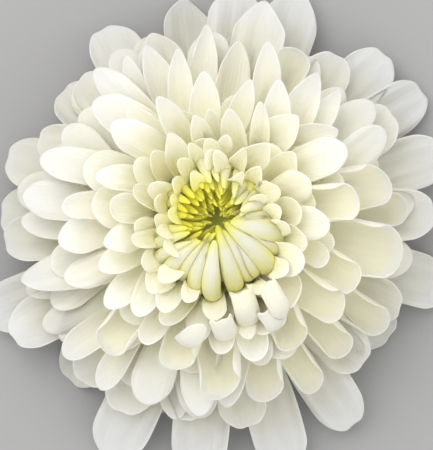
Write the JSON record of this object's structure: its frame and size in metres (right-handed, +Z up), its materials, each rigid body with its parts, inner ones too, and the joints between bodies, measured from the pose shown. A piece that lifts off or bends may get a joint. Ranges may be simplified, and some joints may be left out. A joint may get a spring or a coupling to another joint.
{
  "type": "pompon chrysanthemum",
  "caption": "White pompon chrysanthemum bloom as cut: cupped ray florets in layers round a yellow-green heart, over green bracts and a short stub of stem. It lies on its back, face up.",
  "frame": {"origin": "on the surface that the flower lies on, under the middle of its box", "axes": "+Z up out of the flower's face, along its axis; +Y towards the top of the picture, +X towards its right"},
  "size_m": [0.1118, 0.1174, 0.0484],
  "materials": {
    "white_floret": "satin, slightly translucent, cream towards the root",
    "heart_floret": "satin, yellow-green at the eye, paler outwards",
    "green_bract": "matte, with a pale thin edge",
    "cut_stem": "matte, with pale pith on the cut"
  },
  "bodies": {
    "root": {"ray_florets": "white_floret", "heart_florets": "heart_floret", "calyx_bracts": "green_bract", "stem_stub": "cut_stem"}
  },
  "joints": []
}
